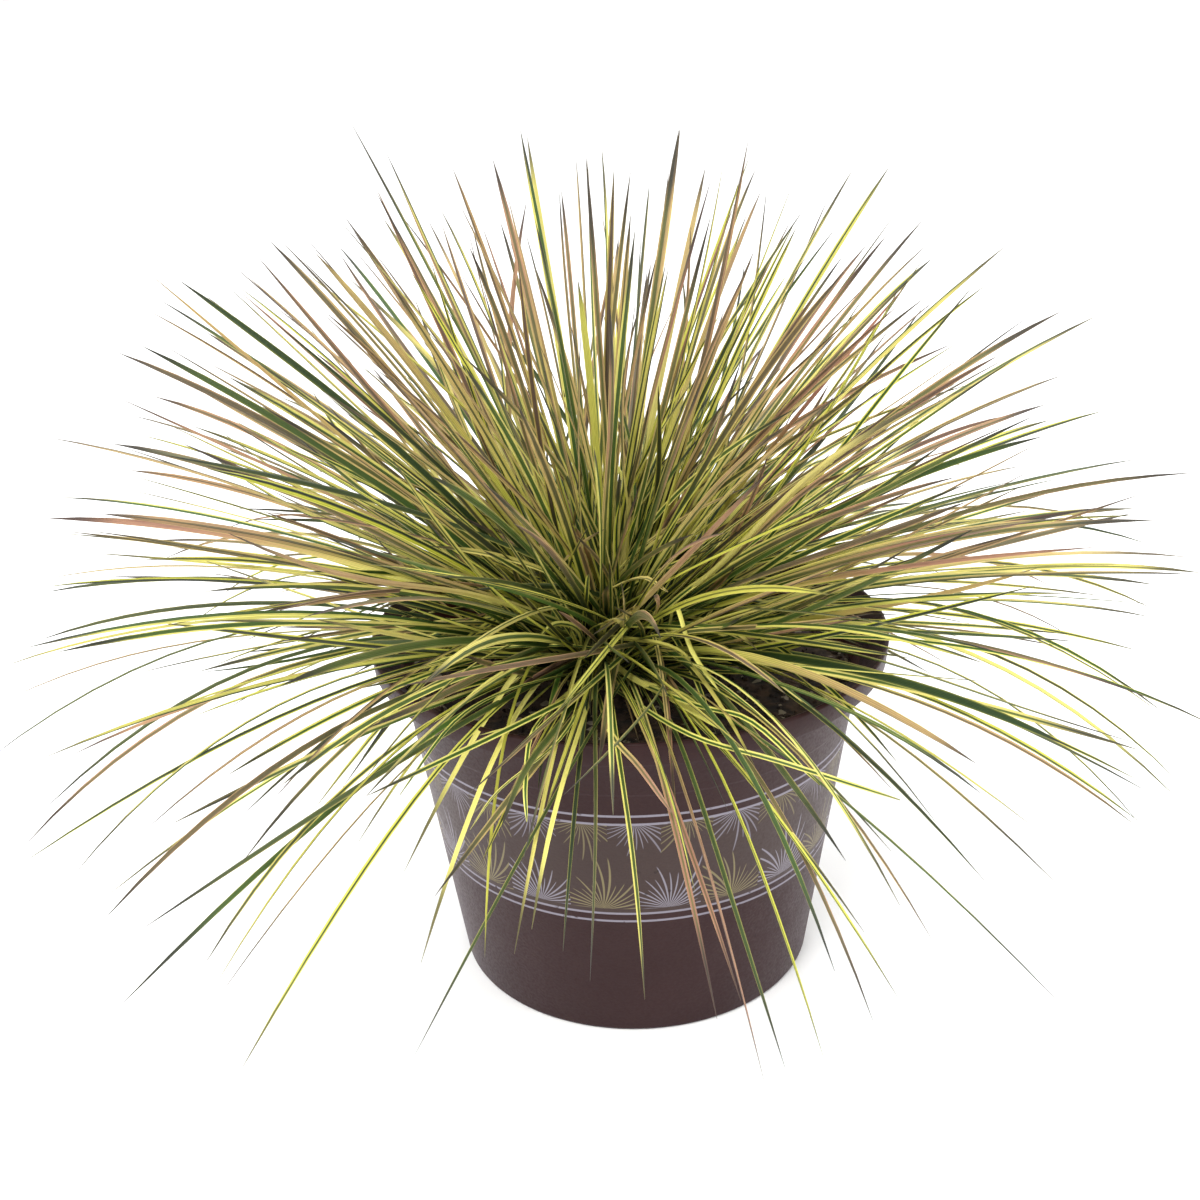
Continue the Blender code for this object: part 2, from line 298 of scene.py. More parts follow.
def sprigRow(tree, run, height, row):
    # fans of narrow blades, each in its own cell round the pot, and which cells are gold
    cells = plus(tree, calc(tree, "DIVIDE", run, row["width"]), row["shift"])
    cell = calc(tree, "FLOOR", cells)
    sideways = times(tree, minus(tree, calc(tree, "FRACT", cells), 0.5), row["width"])
    rise = times(tree, minus(tree, height, row["foot"]), row["way"])
    reach = hypotenuse(tree, sideways, rise)
    lean = calc(tree, "ARCTAN2", sideways, plus(tree, rise, times(tree, reach, 0.35)))
    # the blades curl aside as they rise
    fan = plus(tree, times(tree, lean, 7.0), times(tree, reach, 60.0))
    number = calc(tree, "ROUND", fan)
    offset = calc(tree, "ABSOLUTE", minus(tree, fan, number))
    place = joined(tree, cell, number, 0.0)
    pick = addNode(tree, "ShaderNodeTexWhiteNoise", {0: place}, noise_dimensions="3D")
    length = scaled(tree, pick.outputs["Value"], row["tall"] * 0.6, row["tall"] * 0.4)
    taper = minus(tree, 1.0, calc(tree, "DIVIDE", reach, length))
    thick = scaled(tree, taper, 0.3, 0.02)
    sprig = ramp(tree, minus(tree, thick, offset), -0.05, 0.05)
    sprig = times(tree, sprig, ramp(tree, taper, 0.0, 0.08))
    sprig = times(tree, sprig, ramp(tree, rise, 0.0, 0.0006))
    return sprig, calc(tree, "PINGPONG", cell, 1.0)


def makePotMaterial():
    material, tree, shader = startMaterial("pot_finish")
    place = addNode(tree, "ShaderNodeTexCoord").outputs["Object"]
    split = addNode(tree, "ShaderNodeSeparateXYZ", {0: place}).outputs
    x, y, height = split[0], split[1], split[2]
    turn = calc(tree, "ARCTAN2", x, times(tree, y, -1.0))
    run = times(tree, turn, potFinish["runRadius"])
    radius = hypotenuse(tree, x, y)
    dust = addNode(tree, "ShaderNodeGroup", {"Vector": place, "Amount": 0.6}, node_tree=dustGroup)
    cloud = grain(tree, place, 26.0, 4.0)
    colour = blend(tree, ramp(tree, cloud, 0.35, 0.75, 0.0, 0.35), potFinish["plastic"], potFinish["faded"])
    # the outside only: a wall point stands further out than the inner wall does there
    wallAt = scaled(tree, height, potFinish["wallSlope"], potFinish["wallFoot"])
    outside = ramp(tree, minus(tree, radius, wallAt), -0.0006, -0.0002)
    # painted light: the inner wall takes the lighter, redder inside tone, as if lit from above
    colour = blend(tree, outside, potFinish["inside"], colour)
    # two rows of small sprigs in the band: one grows up from its foot, one hangs from its head
    low, high, edge = potFinish["bandLow"], potFinish["bandHigh"], potFinish["bandEdge"]
    inBand = times(tree, ramp(tree, height, low, low + edge), ramp(tree, height, high, high - edge))
    inBand = times(tree, inBand, outside)
    colour = blend(tree, times(tree, inBand, 0.5), colour, potFinish["band"])
    for row in potFinish["rows"]:
        sprig, goldCell = sprigRow(tree, run, height, row)
        sprigTone = blend(tree, goldCell, potFinish["print"], potFinish["gold"])
        share = times(tree, times(tree, sprig, inBand), row["strength"])
        colour = blend(tree, share, colour, sprigTone)
    stripes = None
    for level in (high + potFinish["lineGap"], high, low, low - potFinish["lineGap"]):
        stripe = pinstripe(tree, height, level, potFinish["lineWidth"])
        stripes = stripe if stripes is None else calc(tree, "MAXIMUM", stripes, stripe)
    worn = ramp(tree, grain(tree, place, 300.0, 2.0), 0.25, 0.4)
    stripes = times(tree, times(tree, stripes, worn), times(tree, outside, 0.7))
    colour = blend(tree, stripes, colour, potFinish["print"])
    colour = blend(tree, times(tree, dust.outputs["Marks"], 0.22), colour, potFinish["faded"])
    colour = blend(tree, dust.outputs["Specks"], colour, potFinish["soil"])
    tree.links.new(colour, shader.inputs["Base Color"])
    fine = grain(tree, place, 900.0, 2.0)
    rough = ramp(tree, scaled(tree, dust.outputs["Marks"], 0.5, fine), 0.3, 0.9, 0.4, 0.6)
    tree.links.new(rough, shader.inputs["Roughness"])
    # faint upright moulding lines under a fine grain
    mould = calc(tree, "SINE", times(tree, turn, 72.0))
    bumped(tree, shader, scaled(tree, mould, 0.12, fine), 0.25, 0.0002)
    shader.inputs["Specular IOR Level"].default_value = 0.12
    shader.inputs["Sheen Weight"].default_value = 0.1
    shader.inputs["Sheen Roughness"].default_value = 0.45
    shader.inputs["Sheen Tint"].default_value = tone(190, 176, 190)
    return material


potSet = {
    "height": 0.136, "sides": 144, "rimRadius": 0.098, "rimBand": 0.0086, "rimFlare": 0.010,
    "rimRound": 0.0010, "wall": 0.0016, "baseRadius": 0.0698, "bodyRadius": 0.0886,
    "ledgeHeight": 0.110, "ledgeStep": 0.0008, "corner": 0.0017,
    "drainHoles": 6, "drainRadius": 0.0055, "drainCircle": 0.050,
    # the raised middle of the underside: from and to these shares of its radius, and how high
    "dishFrom": 0.62, "dishTo": 0.66, "dishLift": 0.0006,
    # how far edges are eased
    "ease": 0.0006,
}


def innerRadius(height):
    low = potSet["baseRadius"] - potSet["wall"] - potSet["ledgeStep"] / 2
    high = potSet["bodyRadius"] - potSet["wall"] - potSet["ledgeStep"] / 2
    share = (height - potSet["wall"]) / (potSet["height"] - potSet["rimFlare"] - potSet["wall"])
    return low + (high - low) * share


def roundedCorner(middle, radius, fromDegrees, toDegrees, count=5):
    # points of an arc in the profile's plane
    points = []
    for i in range(count + 1):
        angle = math.radians(fromDegrees + (toDegrees - fromDegrees) * i / count)
        points.append((middle[0] + radius * math.cos(angle), middle[1] + radius * math.sin(angle)))
    return points


def potOutline():
    height, wall, rim, base = (potSet[key] for key in ("height", "wall", "rimRadius", "baseRadius"))
    corner, step, rimRound = (potSet[key] for key in ("corner", "ledgeStep", "rimRound"))
    body, ledgeHeight = potSet["bodyRadius"], potSet["ledgeHeight"]
    flareFoot, bandFoot = height - potSet["rimFlare"], height - potSet["rimBand"]
    skirt = rim - rimRound
    ledge = base + (body - base) / flareFoot * ledgeHeight
    inside = innerRadius(flareFoot)
    ease = potSet["ease"]
    outline = [(0, 0), (base * potSet["dishFrom"], potSet["dishLift"]), (base * potSet["dishTo"], 0)]
    outline += roundedCorner((base - corner, corner), corner, -90, -8)
    outline += [(ledge - step, ledgeHeight - step), (ledge - step * 0.5, ledgeHeight)]
    outline += [(ledge, ledgeHeight + step), (body, flareFoot)]
    outline += [(skirt - wall, height - 1.5 * wall), (skirt - wall, bandFoot)]
    outline += [(skirt - wall * 0.5, bandFoot - ease / 3), (skirt, bandFoot)]
    outline += [(skirt + ease / 2, bandFoot + ease), (rim, height - rimRound)]
    outline += roundedCorner((skirt, height - rimRound), rimRound, 20, 160)
    outline += [(inside + ease, flareFoot + 0.0010), (inside, flareFoot - 0.0004)]
    outline += [(innerRadius(wall + 0.002), wall + 0.002), (innerRadius(wall) - 0.0015, wall), (0, wall)]
    return outline


def spun(name, outline, sides):
    form = bmesh.new()
    points = [form.verts.new((radius, 0, height)) for radius, height in outline]
    edges = [form.edges.new(pair) for pair in zip(points, points[1:])]
    bmesh.ops.spin(form, geom=points + edges, axis=(0, 0, 1), cent=(0, 0, 0), angle=math.tau, steps=sides)
    bmesh.ops.remove_doubles(form, verts=form.verts, dist=0.00001)
    bmesh.ops.recalc_face_normals(form, faces=form.faces)
    return asObject(name, form)


def asObject(name, form):
    mesh = bpy.data.meshes.new(name)
    form.to_mesh(mesh)
    form.free()
    piece = bpy.data.objects.new(name, mesh)
    scene.collection.objects.link(piece)
    return piece


def skin(form, loops, top):
    # faces between rings of points, up to a point at the top, and the flat foot
    for lower, higher in zip(loops, loops[1:]):
        for i in range(len(lower)):
            j = (i + 1) % len(lower)
            form.faces.new((lower[i], lower[j], higher[j], higher[i]))
    last = loops[-1]
    for i in range(len(last)):
        form.faces.new((last[i], last[(i + 1) % len(last)], top))
    form.faces.new(list(reversed(loops[0])))
    bmesh.ops.recalc_face_normals(form, faces=form.faces)


def settle(piece):
    # the evaluated result as a plain mesh, with the modifiers gone
    graph = bpy.context.evaluated_depsgraph_get()
    mesh = bpy.data.meshes.new_from_object(piece.evaluated_get(graph))
    mesh.name = piece.name
    piece.modifiers.clear()
    piece.data = mesh
    return mesh


def smooth(mesh, degrees):
    mesh.shade_smooth()
    mesh.set_sharp_from_angle(angle=math.radians(degrees))


def makePot():
    pot = spun("grass_pot", potOutline(), potSet["sides"])
    form = bmesh.new()
    for i in range(potSet["drainHoles"]):
        angle = math.tau * i / potSet["drainHoles"]
        away = Vector((math.cos(angle), math.sin(angle), 0)) * potSet["drainCircle"]
        bmesh.ops.create_cone(form, cap_ends=True, segments=32, radius1=potSet["drainRadius"],
            radius2=potSet["drainRadius"], depth=potSet["wall"] * 6, matrix=Matrix.Translation(away))
    cutter = asObject("drain_cutter", form)
    drain = pot.modifiers.new("drainHoles", "BOOLEAN")
    drain.operation, drain.object, drain.solver = "DIFFERENCE", cutter, "EXACT"
    mesh = settle(pot)
    bpy.data.objects.remove(cutter, do_unlink=True)
    mesh.materials.clear()
    mesh.materials.append(makePotMaterial())
    smooth(mesh, 35)
    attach(pot, "root")
    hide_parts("pot")
    return pot


makePot()
print("pot made")

# Potting mix: lumpy surface with crumbs, bark and perlite strewn by Geometry Nodes

soilSet = {
    "top": 0.120, "lump": 0.0022, "gap": 0.0003, "sides": 120, "rings": 26, "seed": 5,
    "crumbDensity": 60000.0, "crumbSize": 0.0016, "barkDensity": 6500.0, "barkSize": 0.0035,
    "dark": tone(28, 22, 18), "brown": tone(74, 54, 38), "pale": tone(150, 140, 120),
}


def makeSoilMaterial(name, paleShare):
    material, tree, shader = startMaterial(name)
    place = addNode(tree, "ShaderNodeTexCoord").outputs["Object"]
    clod = grain(tree, place, 160.0, 5.0, 0.65)
    fleck = addNode(tree, "ShaderNodeTexVoronoi", {"Vector": place, "Scale": 420.0})
    pieceTone = addNode(tree, "ShaderNodeSeparateColor", {0: fleck.outputs["Color"]}).outputs[0]
    colour = blend(tree, ramp(tree, clod, 0.35, 0.72), soilSet["dark"], soilSet["brown"])
    pale = ramp(tree, pieceTone, 1.0 - paleShare, 1.0 - paleShare * 0.9, 0.0, 0.7)
    colour = blend(tree, pale, colour, soilSet["pale"])
    tree.links.new(colour, shader.inputs["Base Color"])
    tree.links.new(ramp(tree, clod, 0.3, 0.7, 0.98, 0.78), shader.inputs["Roughness"])
    bumped(tree, shader, clod, 0.8, 0.001)
    return material


def makeCrumbTree():
    inputs = (("Geometry", "Geometry", None), ("Density", "Float", 1000.0), ("Crumb Size", "Float", 0.002),
              ("Flatness", "Float", 0.7), ("Seed", "Int", None), ("Material", "Material", None))
    tree, given, result = startGroup("strewnCrumbs", "GeometryNodeTree", inputs, (("Geometry", "Geometry"),))
    tree.is_modifier = True
    normal = addNode(tree, "GeometryNodeInputNormal").outputs[0]
    up = addNode(tree, "ShaderNodeSeparateXYZ", {0: normal}).outputs[2]
    topOnly = addNode(tree, "FunctionNodeCompare", {0: up, 1: 0.6}, operation="GREATER_THAN").outputs[0]
    spread = {"Mesh": given["Geometry"], "Selection": topOnly,
              "Density": given["Density"], "Seed": given["Seed"]}
    points = addNode(tree, "GeometryNodeDistributePointsOnFaces", spread)
    crumb = addNode(tree, "GeometryNodeMeshIcoSphere", {"Radius": 1.0, "Subdivisions": 2})
    place = addNode(tree, "GeometryNodeInputPosition").outputs[0]
    bumpy = addNode(tree, "ShaderNodeTexNoise", {"Vector": place, "Scale": 1.4})
    centred = {0: bumpy.outputs["Color"], 1: (-0.5, -0.5, -0.5)}
    push = addNode(tree, "ShaderNodeVectorMath", centred, operation="ADD").outputs[0]
    push = addNode(tree, "ShaderNodeVectorMath", {0: push, 3: 1.5}, operation="SCALE").outputs[0]
    rough = addNode(tree, "GeometryNodeSetPosition", {"Geometry": crumb.outputs["Mesh"], "Offset": push})
    anyTurn = {0: (0, 0, 0), 1: (math.tau, math.tau, math.tau), "Seed": given["Seed"]}
    turned = addNode(tree, "FunctionNodeRandomValue", anyTurn, data_type="FLOAT_VECTOR").outputs[0]
    anySize = {2: 0.25, 3: 1.0, "Seed": given["Seed"]}
    size = addNode(tree, "FunctionNodeRandomValue", anySize, data_type="FLOAT").outputs[1]
    size = times(tree, size, given["Crumb Size"])
    flat = times(tree, size, given["Flatness"])
    strewn = {"Points": points.outputs["Points"], "Instance": rough.outputs[0], "Rotation": turned,
              "Scale": joined(tree, size, flat, flat)}
    placed = addNode(tree, "GeometryNodeInstanceOnPoints", strewn)
    endGroup(tree, placed, given, result)
    return tree


def grown(piece, tree, values):
    # runs a Geometry Nodes tree on a piece and keeps the result as its plain mesh
    modifier = piece.modifiers.new("grown", "NODES")
    modifier.node_group = tree
    for item in tree.interface.items_tree:
        if item.item_type == "SOCKET" and item.in_out == "INPUT" and item.name in values:
            modifier[item.identifier] = values[item.name]
    return settle(piece)


def makeSoil():
    sides, rings, gap = soilSet["sides"], soilSet["rings"], soilSet["gap"]
    turns = [math.tau * i / sides for i in range(sides)]
    edgeHeight = soilSet["top"] - soilSet["lump"]
    edge = innerRadius(edgeHeight) - gap
    foot, floor = innerRadius(potSet["wall"]) - gap, potSet["wall"] + gap
    form = bmesh.new()
    loops = [[form.verts.new((math.cos(angle) * foot, math.sin(angle) * foot, floor)) for angle in turns]]
    for ring in range(rings):
        share = 1 - ring / rings
        # level at the wall and in the middle, lumpy between
        calm = min(1, (1 - share) * 6) * min(1, share * 2.2)
        rise = 0.9 * min(1, (1 - share) * 3)
        loop = []
        for angle in turns:
            x, y = math.cos(angle) * edge * share, math.sin(angle) * edge * share
            lump = noise.noise(Vector((x, y, 0.3)) * 70) * 0.7 + noise.noise(Vector((x, y, 0.9)) * 220) * 0.35
            loop.append(form.verts.new((x, y, edgeHeight + soilSet["lump"] * (rise + lump * calm))))
        loops.append(loop)
    skin(form, loops, form.verts.new((0, 0, soilSet["top"] - gap)))
    soil = asObject("potting_mix", form)
    soil.data.materials.append(makeSoilMaterial("mix_finish", 0.06))
    smooth(soil.data, 60)
    crumbTree = makeCrumbTree()
    strewn = {
        "soil_crumbs": ("crumb", 0.75, makeSoilMaterial("crumb_finish", 0.08)),
        "bark_bits": ("bark", 0.35, makeSoilMaterial("bark_finish", 0.02)),
    }
    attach(soil, "root")
    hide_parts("soil")
    for name, (kind, flatness, material) in strewn.items():
        bits = bpy.data.objects.new(name, soil.data.copy())
        scene.collection.objects.link(bits)
        values = {"Density": soilSet[kind + "Density"], "Crumb Size": soilSet[kind + "Size"],
                  "Flatness": flatness, "Seed": soilSet["seed"], "Material": material}
        mesh = grown(bits, crumbTree, values)
        smooth(mesh, 50)
        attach(bits, "root")
        print(name, len(mesh.polygons), "faces")


makeSoil()
print("potting mix made")

# The camera stands where the photograph was taken from

cameraSet = {
    "place": (0.0, -0.5311, 0.3678), "turn": -1.16, "tilt": 22.67, "roll": -1.84,
    "lens": 45.46, "sensor": 36.0, "frameSide": 1200,
}


def cameraAxes():
    turn, tilt, roll = (math.radians(cameraSet[key]) for key in ("turn", "tilt", "roll"))
    ahead = Vector((math.sin(turn) * math.cos(tilt), math.cos(turn) * math.cos(tilt), -math.sin(tilt)))
    level = Vector((math.cos(turn), -math.sin(turn), 0))
    above = level.cross(ahead)
    right = level * math.cos(roll) + above * math.sin(roll)
    up = above * math.cos(roll) - level * math.sin(roll)
    return right, up, ahead


def sightTo(across, down):
    # the way from the camera through a place of the frame, in its 1200 steps
    right, up, ahead = cameraAxes()
    focal = cameraSet["lens"] / cameraSet["sensor"] * cameraSet["frameSide"]
    half = cameraSet["frameSide"] / 2
    return (ahead + right * ((across - half) / focal) - up * ((down - half) / focal)).normalized()


# Tussock: the tillers' law is the solids' own, so that each keeps its leaves

tussock = {
    # the solids' law: how many tillers, where they stand and lean, and how long their leaves are
    "tillers": 49, "seed": 20, "goldenAngle": math.radians(137.5), "leavesEach": (4, 4, 5, 5),
    "crownX": -0.009, "crownRadius": 0.026, "crownHeight": 0.022,
    "outerRootLean": math.radians(74), "outerTipLean": math.radians(97),
    "headingLean": 0.8, "headingShare": 0.5, "uprightReach": 0.200, "sideReach": 0.228, "leastReach": 0.86,
    "sheathRadius": 0.0023, "sheathLength": 0.008, "spread": 0.026, "leastSpread": 0.75,
    "elbow": 0.58, "parting": 0.12, "archedFrom": math.radians(16),
    "archedSteps": (0.2, 0.42, 0.64, 0.85), "straightSteps": (0.25, 0.55, 0.82),
    "rimClearance": 0.0035, "floorClearance": 0.004, "raise": 0.04, "mostRaises": 40, "halfWidth": 0.0019,
    # every blade: rings along it, how it arches, sways and twists, and how near the rim it may pass
    "rings": 15, "freeElbow": 0.42, "sway": 0.006, "twist": 0.5, "ownTwist": 0.3, "ownSway": 0.001,
    "bladeClearance": 0.0022, "rootDepth": 0.0012, "sheathDepth": 0.003,
    # leaves added to each tiller's own: up to a lean in degrees, how many, and how far they stray
    "fillerSeed": 3, "fillers": ((35, 14), (70, 20), (79, 12)),
    "fillerLean": math.radians(17), "fillerTurn": math.radians(26), "mostRootLean": math.radians(82),
    "fillerCone": math.radians(15), "strayCone": math.radians(40), "strays": 0.42, "coneShare": 1.2,
    "longFillers": 0.85, "longness": (0.42, 0.97), "shortness": (0.25, 0.45),
    # leaves that end where the photograph shows an end
    "longestReach": 0.232, "boxMargin": 0.006, "leadTurn": math.radians(8), "leadShare": 0.3,
    "nearbyEnd": math.radians(4.5), "levelPlay": 0.006, "reachPlay": (0.97, 1.06),
    # widths as shares of the solids' own: fillers, then a tiller's own leaves high and low, then leads
    "fillerWidth": (0.36, 0.68), "highWidth": (0.5, 0.82), "lowWidth": (0.33, 0.52),
    "leadWidth": (0.44, 0.76), "lowLean": math.radians(79),
    # looks: the span of heights over which leaves turn, the share turned at its foot and head
    "turnedFrom": 0.10, "turnedOver": 0.18, "turnedLow": 0.14, "turnedRise": 0.56,
    "turnedBlush": (0.6, 1.0), "plainBlush": (0.0, 0.3),
}
crownMiddle = Vector((tussock["crownX"], 0, soilSet["top"]))


def direction(azimuth, lean):
    across = math.sin(lean)
    return Vector((across * math.cos(azimuth), across * math.sin(azimuth), math.cos(lean)))


def crownPoint(azimuth, lean, outside=0.0):
    way = direction(azimuth, lean)
    wide = tussock["crownRadius"] + outside
    tall = tussock["crownHeight"] + outside
    foot = soilSet["top"] + soilSet["gap"]
    return Vector((tussock["crownX"] + wide * way.x, wide * way.y, foot + tall * way.z))


def around(way, angle):
    level = way.cross(Vector((0, 0, 1))).normalized()
    return level * math.cos(angle) + level.cross(way) * math.sin(angle)


def bend(start, heading, tip, step, stiffness=tussock["elbow"]):
    elbow = start + heading * stiffness * (tip - start).length
    return start * (1 - step) ** 2 + elbow * 2 * step * (1 - step) + tip * step**2


def clearsRim(line, clearance):
    for here, ahead in zip(line, line[1:]):
        for share in (0, 0.2, 0.4, 0.6, 0.8):
            point = here.lerp(ahead, share)
            radius = math.hypot(point.x, point.y)
            overRim = potSet["bodyRadius"] - clearance < radius < potSet["rimRadius"] + clearance
            if overRim and point.z < potSet["height"] + clearance:
                return False
    return True


def solidLine(start, heading, tip):
    arched = heading.angle(tip - start) > tussock["archedFrom"]
    steps = tussock["archedSteps" if arched else "straightSteps"]
    return [start] + [bend(start, heading, tip, step) for step in steps] + [tip]


def leafBase(root, heading, angle):
    keelWay = around(heading, angle)
    start = root + heading * tussock["sheathLength"] + keelWay * tussock["sheathRadius"] / 2
    return start, (heading + keelWay * tussock["parting"]).normalized(), keelWay


def raisedHeading(root, heading, tips):
    raised = heading.copy()
    for _ in range(tussock["mostRaises"]):
        lines = []
        for angle, tip in tips:
            start, leafHeading, _ = leafBase(root, raised, angle)
            lines.append(solidLine(start, leafHeading, tip))
        if all(clearsRim(line, tussock["rimClearance"]) for line in lines):
            break
        raised = (raised + Vector((0, 0, tussock["raise"]))).normalized()
    return raised


def reachOf(lean):
    return tussock["uprightReach"] + (tussock["sideReach"] - tussock["uprightReach"]) * math.sin(lean) ** 2


def tillerPlan(index, rng):
    share = (index + 0.5) / tussock["tillers"]
    azimuth = index * tussock["goldenAngle"]
    rootLean = math.acos(1 - share * (1 - math.cos(tussock["outerRootLean"])))
    tipLean = math.acos(1 - share * (1 - math.cos(tussock["outerTipLean"])))
    root = crownPoint(azimuth, rootLean, soilSet["gap"] * 2)
    aim = direction(azimuth, tipLean)
    outward = direction(azimuth, rootLean * tussock["headingLean"])
    heading = (outward * tussock["headingShare"] + aim).normalized()
    leaves = rng.choice(tussock["leavesEach"])
    turnStart = rng.uniform(0, math.tau)
    tips = []
    for i in range(leaves):
        angle = turnStart + math.tau * i / leaves
        reach = reachOf(tipLean) * rng.uniform(tussock["leastReach"], 1.0)
        spread = tussock["spread"] * rng.uniform(tussock["leastSpread"], 1.0)
        tip = crownMiddle + aim * reach + around(aim, angle) * spread
        tip.z = max(tip.z, tussock["floorClearance"])
        tips.append((angle, tip))
    heading = raisedHeading(root, heading, tips)
    return {"index": index, "azimuth": azimuth, "rootLean": rootLean, "tipLean": tipLean,
            "root": root, "aim": aim, "heading": heading, "tips": tips}


def newChains():
    keys = ("points", "edges", "along", "halfWidth", "facing", "tint", "blush", "kind", "strip", "isSheath")
    return {key: [] for key in keys}


def addChain(chains, points, facings, halfWidths, look, alongFrom=0.0, alongTo=1.0, sheath=False):
    first = len(chains["points"])
    strip = len(set(chains["strip"]))
    last = len(points) - 1
    for i, point in enumerate(points):
        chains["points"].append(point)
        chains["facing"].append(facings[i])
        chains["halfWidth"].append(halfWidths[i])
        chains["along"].append(alongFrom + (alongTo - alongFrom) * i / last)
        for key in ("tint", "blush", "kind"):
            chains[key].append(look[key])
        chains["strip"].append(strip)
        chains["isSheath"].append(1.0 if sheath else 0.0)
        if i:
            chains["edges"].append((first + i - 1, first + i))


bladeShape = {
    "foldDepth": 0.62, "thickness": 0.13, "profilePoints": 8, "sheathPoints": 14,
    "widestAt": 0.34, "baseWidth": 0.66, "tipPower": 6, "tipRound": 0.9, "leastHalf": 0.00006,
}


def widthAt(step, half):
    # narrower at the base, widest a third of the way up, drawn out to a point
    widest, base = bladeShape["widestAt"], bladeShape["baseWidth"]
    if step < widest:
        return half * (base + (1 - base) * math.sin(step / widest * math.pi / 2))
    beyond = ((step - widest) / (1 - widest)) ** bladeShape["tipPower"]
    return max(half * (1 - beyond) ** bladeShape["tipRound"], bladeShape["leastHalf"])


def facingsAlong(points, keel, twist):
    # carries the keel's way along the blade, turning it a little at each ring
    facings = []
    before = (points[1] - points[0]).normalized()
    last = len(points) - 1
    for i in range(len(points)):
        ahead = (points[min(i + 1, last)] - points[max(i - 1, 0)]).normalized()
        keel = before.rotation_difference(ahead) @ keel
        keel = (keel - ahead * keel.dot(ahead)).normalized()
        before = ahead
        facings.append(Quaternion(ahead, twist * i / last) @ keel)
    return facings


def lookFor(tip, rng, kind=None, blush=None):
    # the higher a leaf ends, the likelier its outer half has turned tan and mauve
    height = min(1.0, max(0.0, (tip.z - tussock["turnedFrom"]) / tussock["turnedOver"]))
    if blush is None:
        turned = rng.random() < tussock["turnedLow"] + tussock["turnedRise"] * height
        blush = rng.uniform(*tussock["turnedBlush" if turned else "plainBlush"])
    if kind is None:
        kind = rng.random() ** (1.7 - 0.7 * height)
    return {"tint": rng.random(), "blush": blush, "kind": kind}


def addBlade(chains, start, heading, tip, keel, half, look, rng, twist=None, sway=None, elbow="freeElbow"):
    count = tussock["rings"]
    heading = heading.normalized()
    swayWay = around(heading, rng.uniform(0, math.tau))
    sway = tussock["sway"] * rng.random() ** 2 if sway is None else sway
    wave = rng.choice((1, 1, 2))
    for _ in range(tussock["mostRaises"]):
        points = []
        for i in range(count + 1):
            step = i / count
            push = sway * math.sin(math.pi * wave * step) * (1 if wave == 1 else step)
            points.append(bend(start, heading, tip, step, tussock[elbow]) + swayWay * push)
        if clearsRim(points, tussock["bladeClearance"]):
            break
        heading = (heading + Vector((0, 0, tussock["raise"]))).normalized()
    for point in points:
        point.z = max(point.z, tussock["floorClearance"] * 0.5)
    first = (points[1] - points[0]).normalized()
    keel = (keel - first * keel.dot(first)).normalized()
    twist = rng.gauss(0, tussock["twist"]) if twist is None else twist
    facings = facingsAlong(points, keel, twist)
    halfWidths = [widthAt(i / count, half) for i in range(count + 1)]
    addChain(chains, points, facings, halfWidths, look)


# a sheath's outline: how far up it, in lengths, and how wide, in radii
sheathOutline = ((-0.45, 1.12), (-0.1, 1.18), (0.3, 1.1), (0.7, 1.0), (1.0, 0.92), (1.12, 0.5))


def addSheath(chains, plan, rng):
    heading, root = plan["heading"], plan["root"]
    points, halfWidths = [], []
    for share, wide in sheathOutline:
        points.append(root + heading * tussock["sheathLength"] * share)
        halfWidths.append(tussock["sheathRadius"] * wide)
    facings = [around(heading, 0)] * len(points)
    look = {"tint": rng.random(), "blush": 0.0, "kind": 0.5}
    addChain(chains, points, facings, halfWidths, look, 0.0, 0.06, sheath=True)


def fillersOf(plan):
    # dense in the upright fan, thin where the leaves lie out over the rim
    lean = math.degrees(plan["tipLean"])
    for limit, count in tussock["fillers"]:
        if lean < limit:
            return count
    return 0


def addFillers(chains, plan, rng):
    for _ in range(fillersOf(plan)):
        lean = plan["rootLean"] + rng.gauss(0, tussock["fillerLean"])
        turn = rng.gauss(0, tussock["fillerTurn"]) / max(0.25, math.sin(plan["rootLean"]))
        azimuth = plan["azimuth"] + turn
        lean = min(abs(lean), tussock["mostRootLean"])
        start = crownPoint(azimuth, lean, -tussock["rootDepth"])
        # most keep near their tiller's own aim, and a few strays cross the others
        cone = tussock["strayCone" if rng.random() < tussock["strays"] else "fillerCone"]
        aside = around(plan["aim"], rng.uniform(0, math.tau)) * math.tan(cone)
        aim = (plan["aim"] + aside * math.sqrt(rng.random()) * tussock["coneShare"]).normalized()
        tipLean = aim.angle(Vector((0, 0, 1)))
        if tipLean > tussock["outerTipLean"]:
            continue
        longness = rng.uniform(*tussock["longness" if rng.random() < tussock["longFillers"] else "shortness"])
        tip = crownMiddle + aim * reachOf(tipLean) * longness
        tip.z = max(tip.z, tussock["floorClearance"])
        outward = direction(azimuth, lean * tussock["headingLean"])
        heading = (outward * rng.uniform(0.0, 0.35) + aim).normalized()
        aside = around(heading, rng.uniform(0, math.tau)) * 0.9
        keel = direction(azimuth, lean) - Vector((0, 0, 0.6)) + aside
        half = tussock["halfWidth"] * rng.uniform(*tussock["fillerWidth"])
        addBlade(chains, start, heading, tip, keel, half, lookFor(tip, rng), rng)


# Leaf ends as seen in the photograph's frame; each leads a leaf of the nearest tiller

